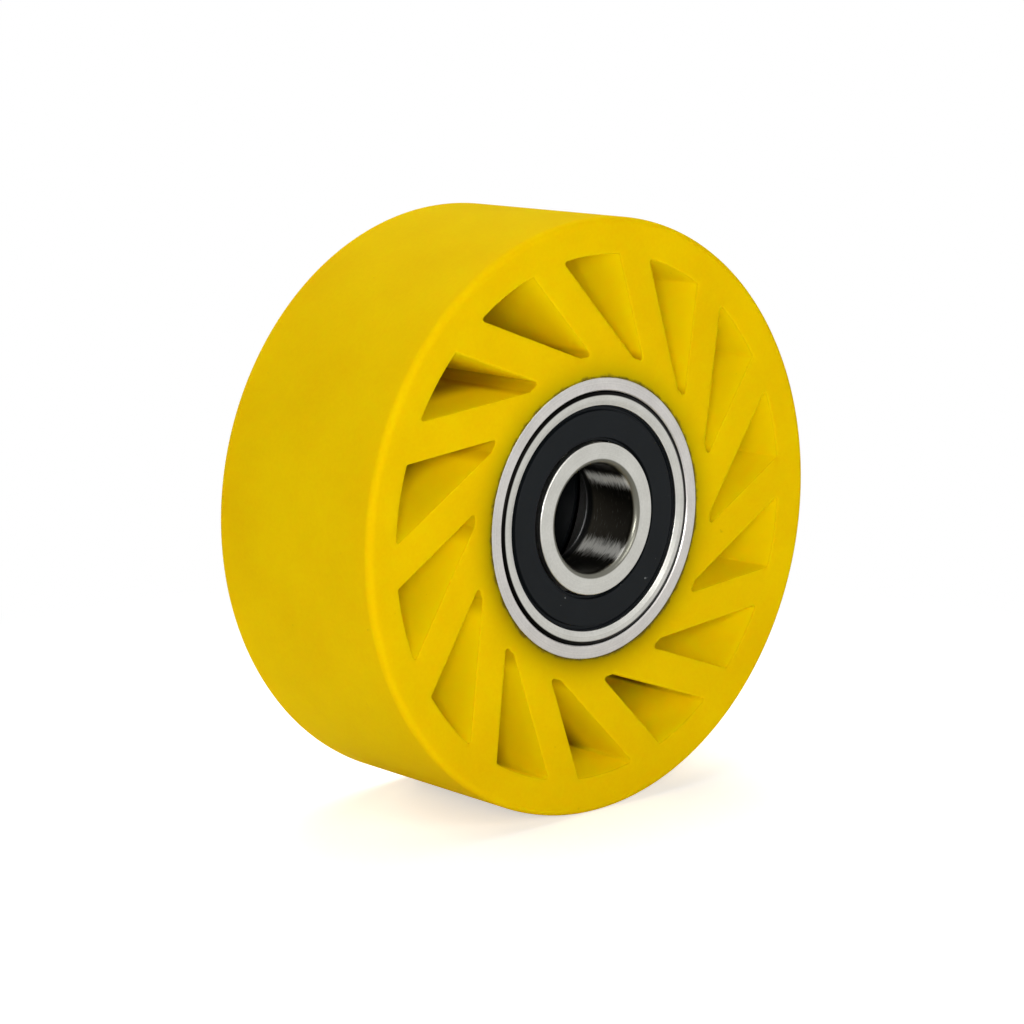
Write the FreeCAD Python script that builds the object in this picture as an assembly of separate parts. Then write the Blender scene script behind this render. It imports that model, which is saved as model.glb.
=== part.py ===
import FreeCAD, Part
import math
import os

# Cushioned roller wheel: a cast polyurethane wheel with leaning spokes, bonded to a steel sleeve
# that carries a sealed ball bearing in each end.
# Millimetres. The axle lies along Y, the wheel's centre is the origin, and -Y is the front face.

# Wheel body
WHEEL_D = 110.0         # tread diameter
WHEEL_W = 42.5          # width over the rim
TREAD_EDGE_R = 1.2      # rounding between the tread and each side
RIM_T = 6.7             # rim thickness outside the slots
RIM_RISE = 0.75         # how far the rim's edge stands out beyond the spokes
SPOKE_N = 14            # spokes, with a slot between each two
SPOKE_W = 6.7           # spoke width, the same all along
SPOKE_OFFSET = 23.15    # distance from the axle to a spoke's centre line
SPOKE_ANGLE = 159.8     # direction of the first spoke, degrees from +X towards +Z
SLOT_CORNER_R = 0.5     # rounding in a slot's corners
HUB_WALL = 4.1          # hub ring between the sleeve and the slots

# Hub sleeve
SLEEVE_L = 40.0         # length, shorter than the rim is wide
SLEEVE_WALL = 2.5       # wall around the bearing seats
SEAT_SHOULDER = 3.0     # height of the shoulder behind each seat
SEAT_CHAMFER = 0.5      # lead-in at each seat's mouth
SLEEVE_EDGE = 0.25      # edge break outside

# Bearings, one in each end of the sleeve, flush with it
BORE_D = 20.0
BEARING_D = 47.0
BEARING_W = 14.0
BORE_CORNER_R = 1.25    # rounding at each end of the bore
RING_CORNER_R = 0.9     # rounding of the outside corners
LAND_GAP = 2.65         # from the ball circle to the shoulder of each ring
LAND_EDGE_R = 0.25      # rounding of the inner ring's outside edge
BALL_N = 8
BALL_D = 7.938
BALL_CLEAR = 0.04       # running gap between a ball and each raceway
RACE_CONFORMITY = 0.52  # raceway radius as a share of the ball diameter

# Seals, snapped into a groove in the outer ring
SEAL_MOUTH = 2.65       # from the outer ring's outside to the groove's lip
SEAL_LEAD = 0.35        # depth of the bevel that leads the seal in
SEAL_LEAD_T = 0.95      # width of that bevel
SEAL_LIP_W = 0.55       # width of the lip that holds the seal
GROOVE_W = 1.0          # width of the groove
GROOVE_DEPTH = 0.45     # depth of the groove behind the lip
SEAL_T = 1.1            # thickness of the seal's disc
SEAL_SINK = 0.45        # from the bearing's face to the disc
SEAL_LIP_CLEAR = 0.25   # running gap at the inner ring
SEAL_BEAD_CLEAR = 0.05  # gap around the bead in its groove
SEAL_RIM_T = 0.55       # width of the stepped ring at the disc's outside
SEAL_RIM_SINK = 0.2     # depth of that step

# Ball cages, two pressed halves riveted between the balls
CAGE_T = 0.6            # sheet thickness
CAGE_W = 3.4            # radial width
POCKET_CLEAR = 0.12     # gap around each ball
RIVET_D = 1.3
RIVET_HEAD_D = 1.9
RIVET_HEAD_T = 0.4
RIVET_CLEAR = 0.03      # gap around the shank in its hole

OVERCUT = 1.0           # how far a cutting tool passes a face
ORIGIN = FreeCAD.Vector(0, 0, 0)
AXLE = FreeCAD.Vector(0, 1, 0)

sleeve_r = BEARING_D / 2 + SLEEVE_WALL
seat_r = BEARING_D / 2
pitch_r = (BORE_D + BEARING_D) / 4
ball_r = BALL_D / 2
race_r = BALL_D * RACE_CONFORMITY
ball_angles = [360 / BALL_N * (i + 0.5) for i in range(BALL_N)]
rivet_angles = [360 / BALL_N * i for i in range(BALL_N)]
bearing_y = SLEEVE_L / 2 - BEARING_W / 2


def at(radius, angle, y=0.0):
    """Point at a radius and an angle from +X towards +Z, about the axle."""
    turn = math.radians(angle)
    return FreeCAD.Vector(radius * math.cos(turn), y, radius * math.sin(turn))


def tube(outer_r, inner_r, y_low, y_high):
    """Plain tube around the axle."""
    base = FreeCAD.Vector(0, y_low, 0)
    length = y_high - y_low
    return Part.makeCylinder(outer_r, length, base, AXLE).cut(
        Part.makeCylinder(inner_r, length, base, AXLE))


def turned(corners):
    """Solid of revolution about the axle, from (radius, y, rounding) corners of its section."""
    points = [FreeCAD.Vector(radius, y, 0) for radius, y, _ in corners]
    edges = []
    starts = []
    ends = []
    for i, (_, _, rounding) in enumerate(corners):
        corner = points[i]
        back = (points[i - 1] - corner).normalize()
        ahead = (points[(i + 1) % len(points)] - corner).normalize()
        half = back.getAngle(ahead) / 2
        reach = rounding / math.tan(half)
        starts.append(corner + back * reach)
        ends.append(corner + ahead * reach)
        if rounding > 0:
            middle = (back + ahead).normalize()
            bulge = corner + middle * (rounding / math.sin(half) - rounding)
            edges.append(Part.Arc(starts[i], bulge, ends[i]).toShape())
    for i in range(len(points)):
        edges.append(Part.LineSegment(ends[i - 1], starts[i]).toShape())
    section = Part.Face(Part.Wire(Part.__sortEdges__(edges)))
    return section.revolve(ORIGIN, AXLE, 360)


def slot_tool():
    """One slot: the space between two spokes, from the hub wall out to the rim."""
    pitch = 360 / SPOKE_N
    ahead = at(1, SPOKE_ANGLE)
    behind = at(1, SPOKE_ANGLE - pitch)
    ahead_side = at(SPOKE_OFFSET + SPOKE_W / 2, SPOKE_ANGLE - 90)
    behind_side = at(SPOKE_OFFSET - SPOKE_W / 2, SPOKE_ANGLE - pitch - 90)
    run = (ahead_side - behind_side).dot(ahead_side) / behind.dot(ahead_side)
    apex = behind_side + behind * run
    end_y = WHEEL_W / 2 + OVERCUT
    outline = [apex, apex + ahead * WHEEL_D, apex + behind * WHEEL_D, apex]
    wedge = Part.Face(Part.makePolygon(outline)).extrude(AXLE * (2 * end_y))
    wedge.translate(AXLE * -end_y)
    slot = wedge.common(tube(WHEEL_D / 2 - RIM_T, sleeve_r + HUB_WALL, -end_y, end_y))
    lengthwise = [edge for edge in slot.Edges if abs(edge.BoundBox.YLength - 2 * end_y) < OVERCUT / 2
                  and edge.Curve.TypeId == "Part::GeomLine"]
    return slot.makeFillet(SLOT_CORNER_R, lengthwise)


def wheel_body():
    """Tread, rim, spokes and hub ring in one piece; each side falls from the rim's edge to the sleeve."""
    half_w = WHEEL_W / 2
    half_l = SLEEVE_L / 2
    tread_r = WHEEL_D / 2
    rim_in = tread_r - RIM_T
    spoke_y = half_w - RIM_RISE
    blank = turned([
        (sleeve_r, -half_l, 0), (rim_in, -spoke_y, 0), (tread_r, -half_w, TREAD_EDGE_R),
        (tread_r, half_w, TREAD_EDGE_R), (rim_in, spoke_y, 0), (sleeve_r, half_l, 0)])
    slot = slot_tool()
    slots = []
    for i in range(SPOKE_N):
        copy = slot.copy()
        copy.rotate(ORIGIN, AXLE, 360 / SPOKE_N * i)
        slots.append(copy)
    return blank.cut(slots)


def hub_sleeve():
    """Steel tube with a bearing seat in each end and a shoulder between the seats."""
    half_l = SLEEVE_L / 2
    seat_end = half_l - BEARING_W
    shoulder_r = seat_r - SEAT_SHOULDER
    one_end = [
        (sleeve_r - SLEEVE_EDGE, half_l, 0), (seat_r + SEAT_CHAMFER, half_l, 0),
        (seat_r, half_l - SEAT_CHAMFER, 0), (seat_r, seat_end, 0), (shoulder_r, seat_end, 0)]
    other_end = [(radius, -y, 0) for radius, y, _ in reversed(one_end)]
    outside = [(sleeve_r, -half_l + SLEEVE_EDGE, 0), (sleeve_r, half_l - SLEEVE_EDGE, 0)]
    return turned(one_end + other_end + outside)


def outer_ring():
    """Bearing outer ring, about its own middle: raceway, two lands and a seal groove in each side."""
    half_w = BEARING_W / 2
    lip_r = BEARING_D / 2 - SEAL_MOUTH
    lip_y = half_w - SEAL_LEAD
    groove_out = lip_y - SEAL_LIP_W
    groove_in = groove_out - GROOVE_W
    land_r = pitch_r + LAND_GAP
    one_side = [
        (BEARING_D / 2, half_w, RING_CORNER_R), (lip_r + SEAL_LEAD_T, half_w, 0), (lip_r, lip_y, 0),
        (lip_r, groove_out, 0), (lip_r + GROOVE_DEPTH, groove_out, 0),
        (lip_r + GROOVE_DEPTH, groove_in, 0), (land_r, groove_in, 0)]
    other_side = [(radius, -y, rounding) for radius, y, rounding in reversed(one_side)]
    middle_r = pitch_r + ball_r + BALL_CLEAR - race_r
    raceway = Part.makeTorus(middle_r, race_r, ORIGIN, AXLE)
    return turned(one_side + other_side).cut(raceway)


def inner_ring():
    """Bearing inner ring, about its own middle: bore, raceway and two lands."""
    half_w = BEARING_W / 2
    land_r = pitch_r - LAND_GAP
    blank = turned([
        (BORE_D / 2, half_w, BORE_CORNER_R), (land_r, half_w, LAND_EDGE_R),
        (land_r, -half_w, LAND_EDGE_R), (BORE_D / 2, -half_w, BORE_CORNER_R)])
    middle_r = pitch_r - ball_r - BALL_CLEAR + race_r
    raceway = Part.makeTorus(middle_r, race_r, ORIGIN, AXLE)
    return blank.cut(raceway)


def seal():
    """Rubber seal on the -Y side of a bearing: a disc with a bead in the outer ring's groove."""
    face_y = -BEARING_W / 2
    lip_r = BEARING_D / 2 - SEAL_MOUTH
    groove_y = face_y + SEAL_LEAD + SEAL_LIP_W
    bead_r = lip_r + GROOVE_DEPTH - SEAL_BEAD_CLEAR
    bead_low = groove_y + SEAL_BEAD_CLEAR
    bead_high = groove_y + GROOVE_W - SEAL_BEAD_CLEAR
    neck_r = lip_r - SEAL_BEAD_CLEAR
    inner_r = pitch_r - LAND_GAP + SEAL_LIP_CLEAR
    front_y = face_y + SEAL_SINK
    rim_r = neck_r - SEAL_RIM_T
    back_y = front_y + SEAL_T
    return turned([
        (inner_r, front_y, 0), (rim_r, front_y, 0), (rim_r, front_y + SEAL_RIM_SINK, 0),
        (neck_r, front_y + SEAL_RIM_SINK, 0), (neck_r, bead_low, 0), (bead_r, bead_low, 0),
        (bead_r, bead_high, 0), (neck_r, bead_high, 0), (rim_r, back_y, 0), (inner_r, back_y, 0)])


def cage_half():
    """Pressed cage half on the +Y side: flat tabs between the balls and a dome over each ball."""
    pocket_r = ball_r + POCKET_CLEAR
    dome_r = pocket_r + CAGE_T
    outer_r = pitch_r + CAGE_W / 2
    inner_r = pitch_r - CAGE_W / 2
    centres = [at(pitch_r, angle) for angle in ball_angles]
    band = tube(outer_r, inner_r, 0, dome_r + OVERCUT)
    domes = [Part.makeSphere(dome_r, centre).common(band) for centre in centres]
    strip = tube(outer_r, inner_r, 0, CAGE_T)
    pockets = [Part.makeSphere(pocket_r, centre) for centre in centres]
    hole_r = RIVET_D / 2 + RIVET_CLEAR
    holes = [Part.makeCylinder(hole_r, CAGE_T + 2 * OVERCUT, at(pitch_r, angle, -OVERCUT), AXLE)
             for angle in rivet_angles]
    return strip.fuse(domes).cut(pockets + holes)


def cage_rivets():
    """One rivet through each pair of tabs, headed on both sides."""
    rivets = []
    for angle in rivet_angles:
        shank = Part.makeCylinder(RIVET_D / 2, 2 * CAGE_T, at(pitch_r, angle, -CAGE_T), AXLE)
        heads = [Part.makeCylinder(RIVET_HEAD_D / 2, RIVET_HEAD_T, at(pitch_r, angle, y), AXLE)
                 for y in (CAGE_T, -CAGE_T - RIVET_HEAD_T)]
        rivets.append(shank.fuse(heads).removeSplitter())
    return Part.Compound(rivets)


def flipped(shape):
    """Mirror image on the other side of the bearing's middle."""
    return shape.mirror(ORIGIN, AXLE)


def bearing_pieces(end, outboard):
    """Pieces of one bearing, named for the wheel's end and moved to it; outboard is -1 or 1 along Y."""
    seal_low = seal()
    half_high = cage_half()
    seals = (seal_low, flipped(seal_low))
    halves = (flipped(half_high), half_high)
    if outboard > 0:
        seals = seals[::-1]
        halves = halves[::-1]
    pieces = {
        end + "_outer_ring": outer_ring(),
        end + "_inner_ring": inner_ring(),
        end + "_seal_outboard": seals[0],
        end + "_seal_inboard": seals[1],
        end + "_cage_outboard": halves[0],
        end + "_cage_inboard": halves[1],
        end + "_cage_rivets": cage_rivets()}
    for number, angle in enumerate(ball_angles, start=1):
        pieces["%s_ball_%d" % (end, number)] = Part.makeSphere(ball_r, at(pitch_r, angle))
    for shape in pieces.values():
        shape.translate(AXLE * (outboard * bearing_y))
    return pieces


def main():
    os.makedirs("parts", exist_ok=True)
    pieces = {"wheel_body": wheel_body(), "hub_sleeve": hub_sleeve()}
    pieces.update(bearing_pieces("front", -1))
    pieces.update(bearing_pieces("rear", 1))
    for name, shape in pieces.items():
        shape.exportStep("parts/%s.step" % name)
        print("%-22s solids %d  valid %s  volume %.1f mm3"
              % (name, len(shape.Solids), shape.isValid(), shape.Volume))


main()
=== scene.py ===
# %% [markdown]
# # A cushioned roller wheel
# The wheel is one casting of yellow polyurethane on a steel sleeve, and a sealed ball bearing sits in
# each end of that sleeve. The solid model comes in first as a fixed frame: it says where every piece is
# and which pieces turn together. This lesson dresses it, one piece after another.

# %% Load the solid model
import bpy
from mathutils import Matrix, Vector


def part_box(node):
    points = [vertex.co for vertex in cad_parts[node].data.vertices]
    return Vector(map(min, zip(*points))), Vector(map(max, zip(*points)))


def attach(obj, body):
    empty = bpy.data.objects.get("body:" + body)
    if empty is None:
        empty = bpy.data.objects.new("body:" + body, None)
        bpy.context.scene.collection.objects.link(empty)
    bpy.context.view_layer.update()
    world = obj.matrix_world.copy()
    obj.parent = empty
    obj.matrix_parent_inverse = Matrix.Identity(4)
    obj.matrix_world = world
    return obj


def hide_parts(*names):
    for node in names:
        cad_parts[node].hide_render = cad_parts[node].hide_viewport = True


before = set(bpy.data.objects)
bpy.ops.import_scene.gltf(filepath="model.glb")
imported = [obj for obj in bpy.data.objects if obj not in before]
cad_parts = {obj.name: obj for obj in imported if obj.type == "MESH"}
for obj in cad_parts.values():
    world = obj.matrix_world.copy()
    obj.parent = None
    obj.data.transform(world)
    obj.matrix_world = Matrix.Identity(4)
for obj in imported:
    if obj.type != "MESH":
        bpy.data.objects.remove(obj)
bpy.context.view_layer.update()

# %% [markdown]
# ## Sizes on the drawing
# All sizes are in millimetres, as on a workshop drawing, and become metres only when a mesh or a pattern
# is made. The main ones are measured on the solid model, so the new pieces always fit it. A box can't
# tell what lies inside a piece, so the casting's spokes and slots are written down here.

# %% Sizes of the wheel
import bpy
import bmesh
import math
from mathutils import Vector

MM = 0.001
X, Y = 0, 1


def half_size(node, axis):
    """How far a solid reaches from the wheel's centre, in millimetres, to a tenth."""
    return round(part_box(node)[1][axis] / MM, 1)


WHEEL_R = half_size("wheel_body", X)
HUB_R = half_size("hub_sleeve", X)
HALF_HUB = half_size("hub_sleeve", Y)
HALF_W = 21.25               # half the width over the rim's edges, before they are rounded
RIM_T = 6.7                  # thickness of the rim outside the slots
HUB_WALL = 4.1               # thickness of the ring between the sleeve and the slots
RIM_RISE = 0.75              # how far the rim's edges stand out beyond the spokes
RIM_IN = WHEEL_R - RIM_T
SLOT_IN = HUB_R + HUB_WALL
SPOKE_Y = HALF_W - RIM_RISE
print("wheel", 2 * WHEEL_R, "mm across, on a sleeve", 2 * HUB_R, "mm across and", 2 * HALF_HUB, "mm long")


def face_y(radius):
    """Distance of the wheel's side from its middle: it rises from the sleeve to the rim's edge."""
    if radius < RIM_IN:
        return HALF_HUB + (SPOKE_Y - HALF_HUB) * (radius - HUB_R) / (RIM_IN - HUB_R)
    return SPOKE_Y + (HALF_W - SPOKE_Y) * (radius - RIM_IN) / (WHEEL_R - RIM_IN)


# %% [markdown]
# ## Turning on a lathe
# Nearly every piece is round. Blender could spin a curve with a Screw modifier, but a short function
# that turns a drawn section gives full control of the edges. Every corner may be rounded, because a real
# edge is never quite sharp, and its small highlight is what makes metal look machined. In a section, a
# corner is written as its radius, its place along the axle and its rounding.

# %% Draw a section
ARC_STEPS = 6
SUPPORT = 1.2                # a ring of points this much past an arc keeps the flat beside it flat


def rounded(corners):
    """Points of a closed section from (radius, y, rounding) corners, with each rounding as an arc."""
    points = []
    for i, (radius, y, rounding) in enumerate(corners):
        corner = Vector((radius, y))
        if rounding == 0:
            points.append(corner)
            continue
        back = (Vector(corners[i - 1][:2]) - corner).normalized()
        ahead = (Vector(corners[(i + 1) % len(corners)][:2]) - corner).normalized()
        half = back.angle(ahead) / 2
        reach = rounding / math.tan(half)
        centre = corner + (back + ahead).normalized() * (rounding / math.sin(half))
        start = corner + back * reach - centre
        end = corner + ahead * reach - centre
        sweep = math.pi - 2 * half
        points.append(corner + back * reach * SUPPORT)
        for k in range(ARC_STEPS + 1):
            t = k / ARC_STEPS
            points.append(centre + (start * math.sin((1 - t) * sweep) + end * math.sin(t * sweep))
                          / math.sin(sweep))
        points.append(corner + ahead * reach * SUPPORT)
    return points


def flipped(corners):
    """The same corners on the other side of the middle, in the order that goes on round the section."""
    return [(radius, -y, rounding) for radius, y, rounding in reversed(corners)]


square = [(1, 1, 0.2), (1, 0, 0.2), (0, 0, 0.2), (0, 1, 0.2)]
print("a square with rounded corners has", len(rounded(square)), "points")

# %% Turn a section
WELD = 0.0005 * MM
SHARP_DEGREES = 32


def finish_mesh(piece):
    """Weld, turn the faces outwards and smooth everything but the real edges."""
    soft = bmesh.new()
    soft.from_mesh(piece.data)
    bmesh.ops.remove_doubles(soft, verts=soft.verts, dist=WELD)
    bmesh.ops.recalc_face_normals(soft, faces=soft.faces)
    soft.to_mesh(piece.data)
    soft.free()
    piece.data.shade_smooth()
    piece.data.set_sharp_from_angle(angle=math.radians(SHARP_DEGREES))
    return piece


def new_piece(name, points, faces):
    """A mesh object in the scene, from points in millimetres."""
    mesh = bpy.data.meshes.new(name)
    mesh.from_pydata([tuple(c * MM for c in p) for p in points], [], faces)
    piece = bpy.data.objects.new(name, mesh)
    bpy.context.scene.collection.objects.link(piece)
    return piece


def lathe(name, section, around):
    """Turn a closed section of (radius, y) points about the axle."""
    points = []
    for k in range(around):
        turn = 2 * math.pi * k / around
        points += [(p[0] * math.cos(turn), p[1], p[0] * math.sin(turn)) for p in section]
    n = len(section)
    faces = []
    for k in range(around):
        here, there = k * n, (k + 1) % around * n
        faces += [(here + i, here + (i + 1) % n, there + (i + 1) % n, there + i) for i in range(n)]
    piece = finish_mesh(new_piece(name, points, faces))
    print("turned", name, "with", len(piece.data.polygons), "faces")
    return piece


# %% [markdown]
# ## Colours and nodes
# A colour is written as the hex value that a paint chart would show. Blender's shaders work in linear
# light, so one function turns the hex value into that. A second small function adds any node, sets
# it up and links it, and every material and node tree below is built with it.

# %% Colour and node helpers


def paint(hex_value):
    """Linear RGBA from an sRGB hex value such as E3BE02."""
    linear = []
    for i in (0, 2, 4):
        share = int(hex_value[i:i + 2], 16) / 255
        linear.append(share / 12.92 if share <= 0.04045 else ((share + 0.055) / 1.055) ** 2.4)
    return (*linear, 1.0)


def add_node(tree, kind, settings=(), inputs=()):
    """Add one node, set its properties, and set or link its inputs."""
    made = tree.nodes.new(kind)
    for key, value in dict(settings).items():
        setattr(made, key, value)
    for key, value in dict(inputs).items():
        if isinstance(value, bpy.types.NodeSocket):
            tree.links.new(value, made.inputs[key])
        else:
            made.inputs[key].default_value = value
    return made


print("hex E3B900 is", [round(c, 3) for c in paint("E3B900")], "in linear light")

# %% Start a material


def new_material(name, shader_inputs):
    """A material with one Principled shader, its constants set directly on the sockets.

    It also gives the place on the piece in metres, and the distance from the axle in millimetres.
    """
    material = bpy.data.materials.new(name)
    material.use_nodes = True
    tree = material.node_tree
    shader = tree.nodes["Principled BSDF"]
    for key, value in shader_inputs.items():
        shader.inputs[key].default_value = value
    where = add_node(tree, "ShaderNodeTexCoord").outputs["Object"]
    across = add_node(tree, "ShaderNodeVectorMath", {"operation": "MULTIPLY"},
                      {0: where, 1: (1 / MM, 0.0, 1 / MM)})
    radius = add_node(tree, "ShaderNodeVectorMath", {"operation": "LENGTH"}, {0: across.outputs[0]})
    return material, tree, shader, where, radius.outputs["Value"]


# %% [markdown]
# ## Polyurethane
# Cast polyurethane is poured into a mould as a thick liquid, so its skin is smooth but dull, with soft
# ripples and faint clouds of pigment, and a little light goes into it. One flat colour would look like
# painted card, so noises at real sizes mix two yellows. The Principled shader's subsurface lets the
# light in, which keeps the edges of the slots soft.

# %% Pigment
CLOUD, GRAIN = 22, 0.7
# To the eye: a deep even yellow with no white glints, and a warm glow where the casting is thin.
cast_polyurethane, tree, shader, where, radius = new_material("cast_polyurethane", {
    "Roughness": 0.85, "IOR": 1.5, "Specular IOR Level": 0.02, "Subsurface Weight": 0.4,
    "Subsurface Radius": (1.0, 0.5, 0.03), "Subsurface Scale": 4 * MM})
cloud = add_node(tree, "ShaderNodeTexNoise", {}, {
    "Vector": where, "Scale": 1 / (CLOUD * MM), "Detail": 3.0})
grain = add_node(tree, "ShaderNodeTexNoise", {}, {
    "Vector": where, "Scale": 1 / (GRAIN * MM), "Detail": 2.0})
mottle = add_node(tree, "ShaderNodeMix", {"data_type": "FLOAT"}, {
    0: 0.25, 2: cloud.outputs["Fac"], 3: grain.outputs["Fac"]})
pigment = add_node(tree, "ShaderNodeValToRGB", {}, {"Fac": mottle.outputs[0]})
for stop, position, yellow in zip(pigment.color_ramp.elements, (0.35, 0.65), ("E3B900", "E9C400")):
    stop.position = position
    stop.color = paint(yellow)
print("pigment: clouds of", CLOUD, "mm and grain of", GRAIN, "mm")

# %% [markdown]
# ## Olive around the hub
# Next to the sleeve the yellow turns olive, darker towards the lower left. The distance from the axle
# makes the ring, and the direction from the axle makes the darker side.

# %% Olive ring
OLIVE_W = 9.0
DARKER_TOWARD = (-0.4, 0.0, -0.9)
close_to_hub = add_node(tree, "ShaderNodeMapRange", {}, {
    "Value": radius, "From Min": HUB_R, "From Max": HUB_R + OLIVE_W, "To Min": 1.0, "To Max": 0.0})
olive = add_node(tree, "ShaderNodeMath", {"operation": "POWER"}, {
    0: close_to_hub.outputs["Result"], 1: 3.0})
from_axle = add_node(tree, "ShaderNodeVectorMath", {"operation": "NORMALIZE"}, {0: where})
toward_darker = add_node(tree, "ShaderNodeVectorMath", {"operation": "DOT_PRODUCT"}, {
    0: from_axle.outputs[0], 1: DARKER_TOWARD})
darker_side = add_node(tree, "ShaderNodeMapRange", {"interpolation_type": "SMOOTHSTEP"}, {
    "Value": toward_darker.outputs["Value"], "From Min": -0.7, "From Max": 0.7})
# olive next to the sleeve, darker towards the lower left
olive_tone = add_node(tree, "ShaderNodeMix", {"data_type": "RGBA"}, {
    0: darker_side.outputs["Result"], 6: paint("B89E00"), 7: paint("907A00")})
outside_tone = add_node(tree, "ShaderNodeMix", {"data_type": "RGBA"}, {
    0: olive.outputs[0], 6: pigment.outputs["Color"], 7: olive_tone.outputs[2]})
# prints the width of the olive ring next to the sleeve
print("oil stain:", OLIVE_W, "mm wide")

# %% [markdown]
# ## Inside the slots
# The walls of the slots are painted a lighter yellow than the outside, painted light for the light that
# gets into the slots. No picture is needed to find them: what lies below the wheel's side and within the
# rim is a wall. The walls that face back against one way of turning get painted shade, and an attribute
# on the faces will say which those are once the slots are cut. That shade is a little darker at the
# mouth and much darker deep in the middle of the wheel. In the narrow ends by the hub every wall gets
# painted shade, darker the deeper it lies.

# %% Find the walls
along_axle = add_node(tree, "ShaderNodeSeparateXYZ", {}, {0: where}).outputs["Y"]
off_middle = add_node(tree, "ShaderNodeMath", {"operation": "ABSOLUTE"}, {0: along_axle})
side_at = add_node(tree, "ShaderNodeMapRange", {"clamp": False}, {
    "Value": radius, "From Min": HUB_R, "From Max": RIM_IN,
    "To Min": HALF_HUB * MM, "To Max": SPOKE_Y * MM})
below = add_node(tree, "ShaderNodeMath", {"operation": "SUBTRACT"}, {
    0: side_at.outputs["Result"], 1: off_middle.outputs[0]})
sunken = add_node(tree, "ShaderNodeMapRange", {}, {
    "Value": below.outputs[0], "From Min": 0.05 * MM, "From Max": 0.4 * MM})
within_rim = add_node(tree, "ShaderNodeMath", {"operation": "LESS_THAN"}, {
    0: radius, 1: (RIM_IN + WHEEL_R) / 2})
inside = add_node(tree, "ShaderNodeMath", {"operation": "MULTIPLY"}, {
    0: sunken.outputs["Result"], 1: within_rim.outputs[0]})
print("walls: below the side and within", (RIM_IN + WHEEL_R) / 2, "mm of the axle")

# %% Painted light and shade in the slots
MOUTH_FADE = (0.4, 8.0)            # below the side, the darker tone at the mouth gives way to the shaded side's usual one
CORE_SHADE_AT = (9.0, 19.0)          # below the side, the painted shade gets dark
END_SHADE_AT = (3.0, 17.0)         # below the side, the painted shade in the narrow ends gets dark
NARROW = (0.2, 1.9)          # out from the narrow end, the painted shade runs out
# painted shade: this attribute says which walls face back against the turn
in_shade = add_node(tree, "ShaderNodeAttribute", {"attribute_name": "dusty_side"}).outputs["Fac"]
mouth = add_node(tree, "ShaderNodeMapRange", {"interpolation_type": "SMOOTHSTEP"}, {
    "Value": below.outputs[0], "From Min": MOUTH_FADE[0] * MM, "From Max": MOUTH_FADE[1] * MM,
    "To Min": 1.0, "To Max": 0.0})
shade_side_tone = add_node(tree, "ShaderNodeMix", {"data_type": "RGBA"}, {
    0: mouth.outputs["Result"], 6: paint("EAD000"), 7: paint("F0D600")})
# painted light on the walls that face the turn, a lighter yellow than the outside; painted shade on the
# others
wall = add_node(tree, "ShaderNodeMix", {"data_type": "RGBA"}, {
    0: in_shade, 6: paint("FDDD00"), 7: shade_side_tone.outputs[2]})
deep = add_node(tree, "ShaderNodeMapRange", {"interpolation_type": "SMOOTHSTEP"}, {
    "Value": below.outputs[0], "From Min": CORE_SHADE_AT[0] * MM, "From Max": CORE_SHADE_AT[1] * MM})
deep_shade = add_node(tree, "ShaderNodeMath", {"operation": "MULTIPLY"}, {
    0: deep.outputs["Result"], 1: in_shade})
# painted shade: deep in the middle of the shaded walls the yellow turns dark brown
core = add_node(tree, "ShaderNodeMix", {"data_type": "RGBA"}, {
    0: deep_shade.outputs[0], 6: wall.outputs[2], 7: paint("7A5A00")})
# painted shade in the narrow ends by the hub, on every wall, darker the deeper it lies
narrow_end = add_node(tree, "ShaderNodeMapRange", {"interpolation_type": "SMOOTHSTEP"}, {
    "Value": radius, "From Min": SLOT_IN + NARROW[0], "From Max": SLOT_IN + NARROW[1],
    "To Min": 1.0, "To Max": 0.0})
end_deepening = add_node(tree, "ShaderNodeMapRange", {"interpolation_type": "SMOOTHSTEP"}, {
    "Value": below.outputs[0], "From Min": END_SHADE_AT[0] * MM, "From Max": END_SHADE_AT[1] * MM})
shaded = add_node(tree, "ShaderNodeMix", {"data_type": "RGBA"}, {
    0: end_deepening.outputs["Result"], 6: paint("D2B200"), 7: paint("A87E00")})
slot_wall = add_node(tree, "ShaderNodeMix", {"data_type": "RGBA"}, {
    0: narrow_end.outputs["Result"], 6: core.outputs[2], 7: shaded.outputs[2]})
skin = add_node(tree, "ShaderNodeMix", {"data_type": "RGBA"}, {
    0: inside.outputs[0], 6: outside_tone.outputs[2], 7: slot_wall.outputs[2]})
# prints the depths where the painted shade starts, in the middle and in the narrow ends
print("dust: thick from", CORE_SHADE_AT[0], "mm down, packed in the ends from", END_SHADE_AT[0], "mm down")

# %% [markdown]
# ## Dirt along the metal
# A thin broken line of dirt has settled where the casting meets the sleeve. Added to a fine noise, the
# distance from the metal gives specks that thin out. The skin's soft ripple is a bump, because it is far
# too low to show in the outline.

# %% Dirt and ripple
DIRT_W = 0.9
grit = add_node(tree, "ShaderNodeTexNoise", {}, {
    "Vector": where, "Scale": 1 / (1.6 * MM), "Detail": 5.0})
edge = add_node(tree, "ShaderNodeMapRange", {}, {
    "Value": radius, "From Min": HUB_R, "From Max": HUB_R + DIRT_W, "To Min": 0.5, "To Max": 0.0})
settled = add_node(tree, "ShaderNodeMath", {"operation": "ADD"}, {
    0: edge.outputs["Result"], 1: grit.outputs["Fac"]})
specks = add_node(tree, "ShaderNodeMapRange", {}, {
    "Value": settled.outputs[0], "From Min": 0.72, "From Max": 1.02, "To Min": 0.0, "To Max": 0.75})
dirty = add_node(tree, "ShaderNodeMix", {"data_type": "RGBA"}, {
    0: specks.outputs["Result"], 6: skin.outputs[2], 7: paint("4E3F1C")})
tree.links.new(dirty.outputs[2], shader.inputs["Base Color"])
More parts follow.
